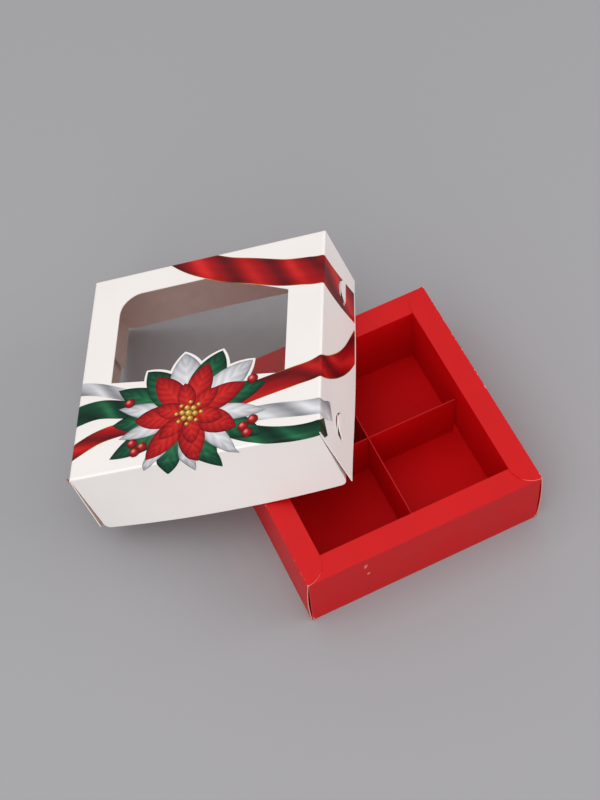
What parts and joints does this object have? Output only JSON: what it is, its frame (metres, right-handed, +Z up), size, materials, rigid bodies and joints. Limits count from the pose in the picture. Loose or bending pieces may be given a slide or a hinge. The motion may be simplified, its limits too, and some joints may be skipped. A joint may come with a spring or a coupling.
{
  "type": "window-lid sweet box",
  "caption": "Square card carton for small sweets: a hollow-walled tray with a cross divider, and a loose lid with a clear window that leans against the tray.",
  "frame": {"origin": "middle of the tray's underside, where it rests on the table", "axes": "+X to the tray's right, +Y to its back, +Z up out of the tray"},
  "size_m": [0.1729, 0.1733, 0.0791],
  "materials": {
    "red_card": "coated red board, soft satin sheen",
    "white_card": "coated white board with a printed ornament, soft satin sheen",
    "clear_film": "thin clear film with a faint veil"
  },
  "bodies": {
    "tray": {"tray_base": "red_card", "tray_front_wall": "red_card", "tray_back_wall": "red_card", "tray_left_wall": "red_card", "tray_right_wall": "red_card", "tray_front_rim": "red_card", "tray_back_rim": "red_card", "tray_left_rim": "red_card", "tray_right_rim": "red_card", "tray_front_inner_wall": "red_card", "tray_back_inner_wall": "red_card", "tray_left_inner_wall": "red_card", "tray_right_inner_wall": "red_card", "tray_flap_front_left": "red_card", "tray_flap_front_right": "red_card", "tray_flap_back_left": "red_card", "tray_flap_back_right": "red_card"},
    "long_divider": {"long_divider": "red_card"},
    "cross_divider": {"cross_divider": "red_card"},
    "lid": {"lid_top": "white_card", "window_film": "clear_film", "lid_front_wall": "white_card", "lid_back_wall": "white_card"},
    "lid_left_wall": {"lid_left_wall": "white_card"},
    "lid_right_wall": {"lid_right_wall": "white_card"},
    "lid_flap_front_left": {"lid_flap_front_left": "white_card"},
    "lid_flap_front_right": {"lid_flap_front_right": "white_card"},
    "lid_flap_back_left": {"lid_flap_back_left": "white_card"},
    "lid_flap_back_right": {"lid_flap_back_right": "white_card"}
  },
  "joints": [
    {"name": "lid_lift", "type": "slide", "parent": "tray", "child": "lid", "axis": [0, 0, 1], "range_m": [0, 0.1]},
    {"name": "dividers_lift", "type": "slide", "parent": "tray", "child": "long_divider", "axis": [0, 0, 1], "range_m": [0, 0.0125]},
    {"name": "cross_divider_lift", "type": "slide", "parent": "long_divider", "child": "cross_divider", "axis": [0, 0, 1], "range_m": [0, 0.0125]},
    {"name": "lid_left_wall_fold", "type": "hinge", "parent": "lid", "child": "lid_left_wall", "pos_m": [-0.09672, 0.07416, 0.04027], "axis": [0.4455, 0.8853, -0.133], "range_deg": [0, 90]},
    {"name": "lid_right_wall_fold", "type": "hinge", "parent": "lid", "child": "lid_right_wall", "pos_m": [-0.00354, 0.032, 0.07171], "axis": [-0.4455, -0.8853, 0.133], "range_deg": [0, 90]},
    {"name": "lid_flap_front_left_fold", "type": "hinge", "parent": "lid", "child": "lid_flap_front_left", "pos_m": [-0.11932, 0.02733, 0.04752], "axis": [0.1968, -0.2682, -0.943], "range_deg": [0, 80]},
    {"name": "lid_flap_front_right_fold", "type": "hinge", "parent": "lid", "child": "lid_flap_front_right", "pos_m": [-0.02771, -0.01413, 0.07843], "axis": [-0.1968, 0.2682, 0.943], "range_deg": [0, 80]},
    {"name": "lid_flap_back_left_fold", "type": "hinge", "parent": "lid", "child": "lid_flap_back_left", "pos_m": [-0.07254, 0.12029, 0.03356], "axis": [-0.2185, 0.225, 0.9495], "range_deg": [0, 80]},
    {"name": "lid_flap_back_right_fold", "type": "hinge", "parent": "lid", "child": "lid_flap_back_right", "pos_m": [0.01907, 0.07883, 0.06446], "axis": [0.2185, -0.225, -0.9495], "range_deg": [0, 80]}
  ]
}
